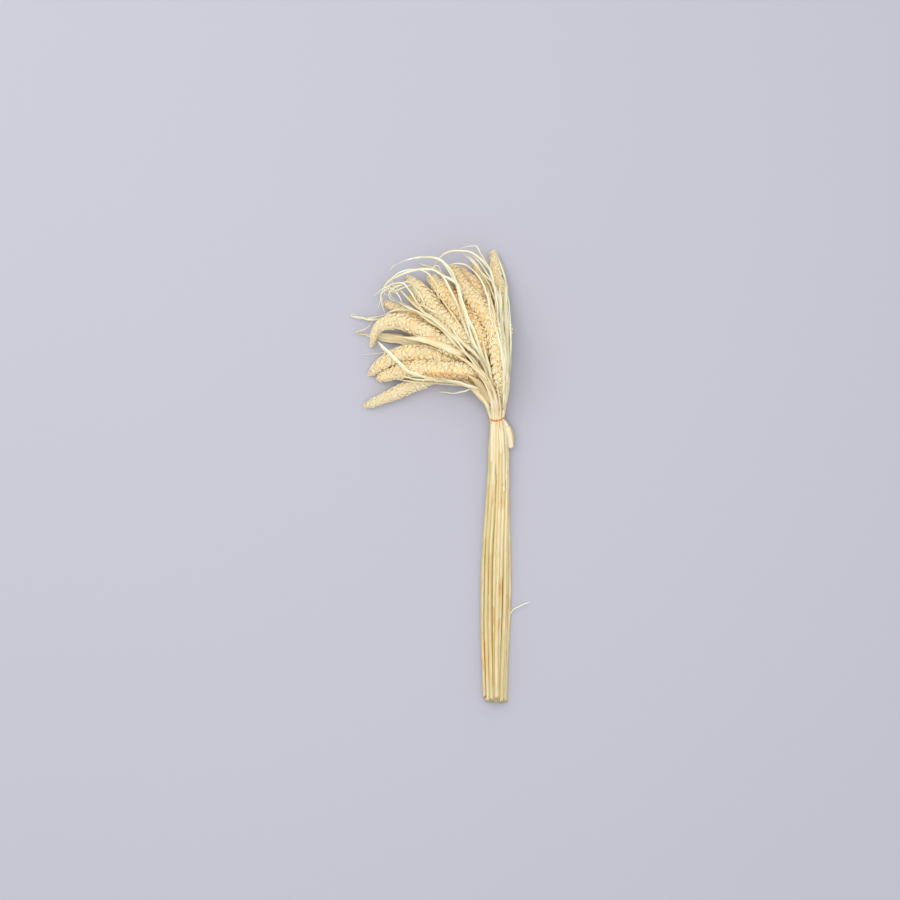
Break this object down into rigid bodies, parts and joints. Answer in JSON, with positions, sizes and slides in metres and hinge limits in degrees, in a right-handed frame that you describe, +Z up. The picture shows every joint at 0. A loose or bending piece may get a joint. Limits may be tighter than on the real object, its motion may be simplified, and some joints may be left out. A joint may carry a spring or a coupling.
{
  "type": "bundle of dried foxtail millet",
  "caption": "Tied bundle of dried foxtail millet lying flat: straight straw stems, dense curving seed heads fanned to one side, dry leaf blades and a thin tie.",
  "frame": {"origin": "under the middle of the bundle's box, on the surface that it lies on", "axes": "+Y along the stems from the cut ends to the seed heads, +X to the right as seen from above with the heads at the far end, away from the fan, +Z up"},
  "size_m": [0.253, 0.651, 0.0662],
  "materials": {
    "stem_straw": "dry straw stems and leaf sheaths, satin, with fine lengthwise ribs",
    "blade_straw": "dry papery leaf blades, pale cream with a greenish cast, matte",
    "grain": "dense clusters of small husked grains, cream to light orange-tan, matte",
    "tie_cord": "thin orange-brown elastic cord, satin"
  },
  "bodies": {
    "root": {"head_01": "grain", "head_02": "grain", "head_03": "grain", "head_04": "grain", "head_05": "grain", "head_06": "grain", "head_07": "grain", "head_08": "grain", "head_09": "grain", "head_10": "grain", "head_11": "grain", "head_12": "grain", "head_13": "grain", "head_14": "grain", "head_15": "grain", "head_16": "grain", "head_17": "grain", "head_18": "grain", "leaf_01": "blade_straw", "leaf_02": "blade_straw", "leaf_03": "blade_straw", "leaf_04": "blade_straw", "leaf_05": "blade_straw", "leaf_06": "blade_straw", "leaf_07": "blade_straw", "leaf_08": "blade_straw", "leaf_09": "blade_straw", "leaf_10": "blade_straw", "leaf_11": "blade_straw", "leaf_12": "blade_straw", "leaf_13": "blade_straw", "leaf_14": "blade_straw", "leaf_15": "blade_straw", "leaf_16": "blade_straw", "leaf_17": "blade_straw", "leaf_18": "blade_straw", "leaf_19": "blade_straw", "leaf_20": "blade_straw", "leaf_21": "blade_straw", "leaf_22": "blade_straw", "leaf_23": "blade_straw", "stem_01": "stem_straw", "stem_02": "stem_straw", "stem_03": "stem_straw", "stem_04": "stem_straw", "stem_05": "stem_straw", "stem_06": "stem_straw", "stem_07": "stem_straw", "stem_08": "stem_straw", "stem_09": "stem_straw", "stem_10": "stem_straw", "stem_11": "stem_straw", "stem_12": "stem_straw", "stem_13": "stem_straw", "stem_14": "stem_straw", "stem_15": "stem_straw", "stem_16": "stem_straw", "stem_17": "stem_straw", "stem_18": "stem_straw", "tie": "tie_cord"}
  },
  "joints": []
}
